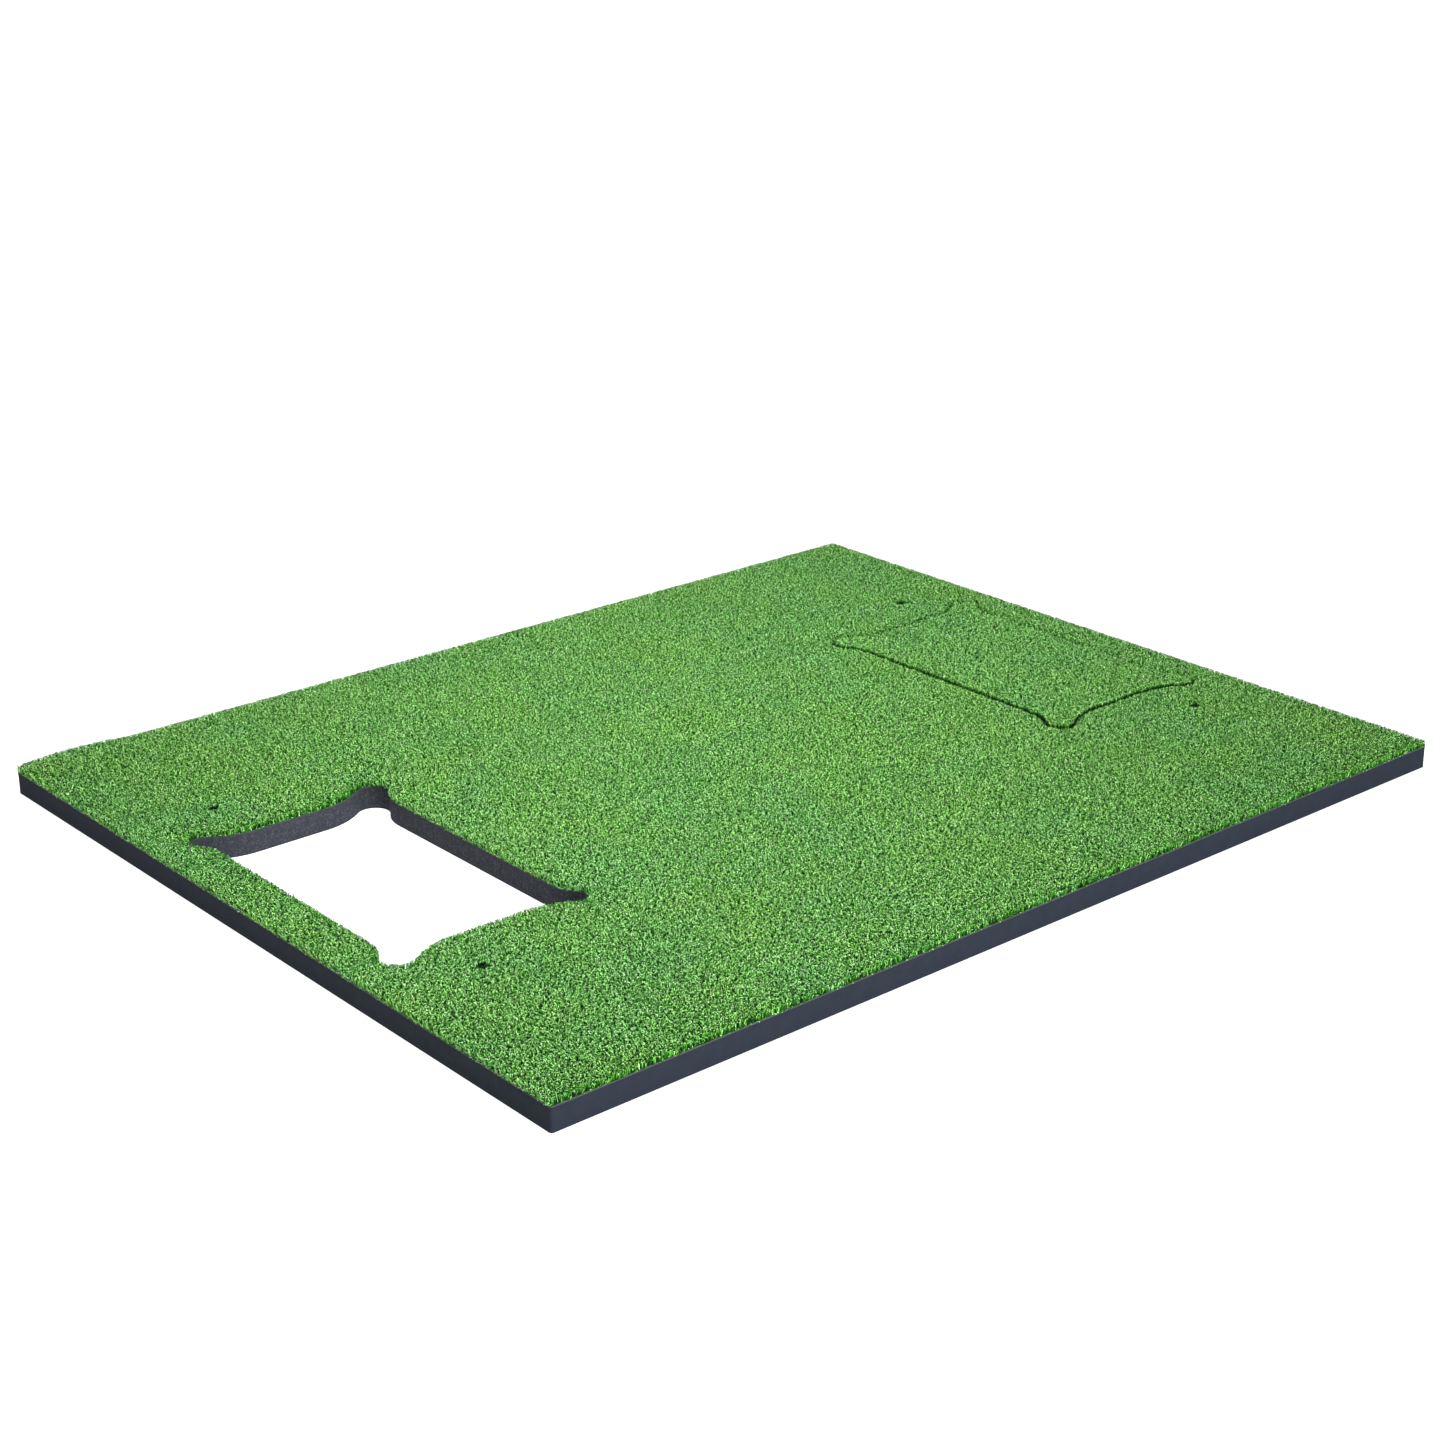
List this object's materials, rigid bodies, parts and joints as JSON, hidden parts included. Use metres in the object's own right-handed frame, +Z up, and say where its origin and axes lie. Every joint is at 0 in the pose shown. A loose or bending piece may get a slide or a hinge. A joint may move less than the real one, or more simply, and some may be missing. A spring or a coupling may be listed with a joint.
{
  "type": "golf hitting mat",
  "caption": "Rectangular turf golf hitting mat on a foam base, with an empty flared-corner cut-out, a like cut-out filled by a lift-out turf insert, and through tee holes.",
  "frame": {"origin": "centre of the mat's underside, where it rests on the floor", "axes": "+X along the long side towards the end that holds the insert, +Y along the short side, +Z up through the pile"},
  "size_m": [1.5, 1.2, 0.0385],
  "materials": {
    "foam": "matte",
    "insert_foam": "matte",
    "glue": "satin",
    "latex": "matte",
    "backing": "matte",
    "turf": "matte"
  },
  "bodies": {
    "mat": {"base_foam_slab": "foam", "base_glue_film": "glue", "base_latex_coat": "latex", "base_backing_cloth": "backing", "base_turf_pile": "turf"},
    "insert": {"insert_foam_block": "insert_foam", "insert_glue_film": "glue", "insert_latex_coat": "latex", "insert_backing_cloth": "backing", "insert_turf_pile": "turf"}
  },
  "joints": [
    {"name": "insert_lift", "type": "slide", "parent": "mat", "child": "insert", "axis": [0, 0, 1], "range_m": [0, 0.06]}
  ]
}
